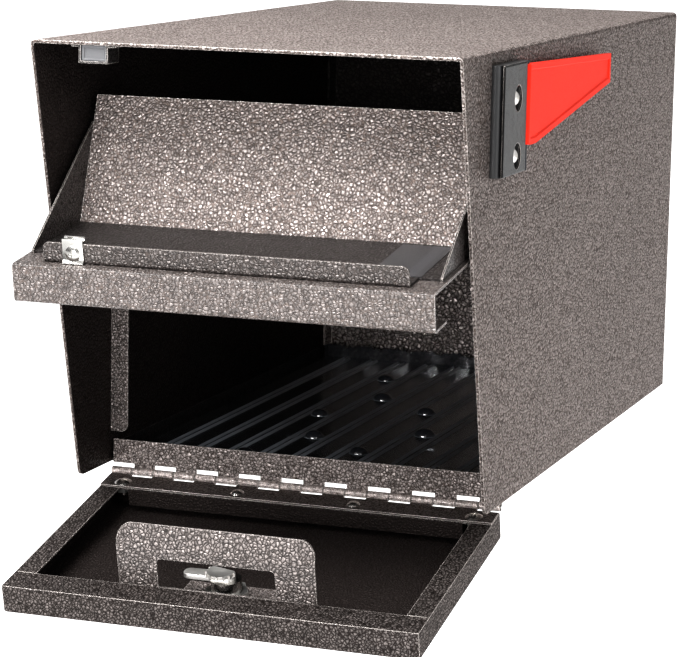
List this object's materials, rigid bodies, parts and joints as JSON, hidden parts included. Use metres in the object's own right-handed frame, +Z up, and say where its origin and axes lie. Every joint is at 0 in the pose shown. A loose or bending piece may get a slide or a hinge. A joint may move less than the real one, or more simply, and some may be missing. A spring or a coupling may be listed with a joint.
{
  "type": "parcel drop box",
  "caption": "Post-mounted locking drop box: tilting upper hopper with baffle, hinged lower retrieval door with cam lock, and a swinging signal flag.",
  "frame": {"origin": "centre of the four base bolt holes on the underside of the floor pan", "axes": "+Z up, +Y from the doors to the back panel, +X to the right seen from the front"},
  "size_m": [0.2825, 0.5852, 0.3448],
  "materials": {
    "bronze_paint": "hammered powder coat",
    "zinc_steel": "zinc plated",
    "spring_steel": "polished spring steel",
    "chrome_trim": "polished",
    "black_steel": "black oxide",
    "black_plastic": "moulded",
    "clear_plastic": "clear",
    "grey_rubber": "moulded",
    "label_film": "printed film, blank",
    "red_acrylic": "translucent red"
  },
  "bodies": {
    "housing": {"outer_shell": "bronze_paint", "back_panel": "bronze_paint", "floor_pan": "bronze_paint", "sill_hinge_leaf": "bronze_paint", "hinge_pin": "zinc_steel", "left_jamb": "bronze_paint", "right_jamb": "bronze_paint", "cross_rail": "bronze_paint", "clear_liner": "clear_plastic", "hood_strap": "bronze_paint", "hood_bumper": "grey_rubber", "pivot_studs": "zinc_steel", "pivot_rings": "zinc_steel", "flag_holder": "black_plastic", "holder_cover": "chrome_trim", "holder_screws": "zinc_steel", "flag_pin": "zinc_steel"},
    "lower_door": {"door_pan": "bronze_paint", "door_hinge_leaf": "bronze_paint", "hinge_bolts": "zinc_steel", "hinge_bolt_nuts": "zinc_steel", "hinge_rivets": "bronze_paint", "lock_tongue": "bronze_paint", "lock_barrel": "chrome_trim", "lock_bracket": "bronze_paint", "lock_nut": "zinc_steel"},
    "lock_cylinder": {"lock_plug": "chrome_trim", "lock_cam": "zinc_steel", "cam_screw": "black_steel"},
    "hopper": {"hopper_plate": "bronze_paint", "hopper_tray": "bronze_paint", "left_wing": "bronze_paint", "right_wing": "bronze_paint", "hopper_bushes": "black_plastic", "mail_clip": "spring_steel", "clip_screw": "spring_steel", "blank_label": "label_film"},
    "flag": {"flag": "red_acrylic"}
  },
  "joints": [
    {"name": "lower_door_hinge", "type": "hinge", "parent": "housing", "child": "lower_door", "pos_m": [0, -0.2123, -0.0055], "axis": [-1, 0, 0], "range_deg": [0, 102.6]},
    {"name": "hopper_tilt", "type": "hinge", "parent": "housing", "child": "hopper", "pos_m": [0, -0.252, 0.1655], "axis": [-1, 0, 0], "range_deg": [0, 94]},
    {"name": "lock_turn", "type": "hinge", "parent": "lower_door", "child": "lock_cylinder", "pos_m": [0, -0.34151, -0.03438], "axis": [0, -0.2181, 0.9759], "range_deg": [0, 90]},
    {"name": "flag_swing", "type": "hinge", "parent": "housing", "child": "flag", "pos_m": [0.143, -0.218, 0.25], "axis": [0, 0, -1], "range_deg": [0, 90]}
  ]
}
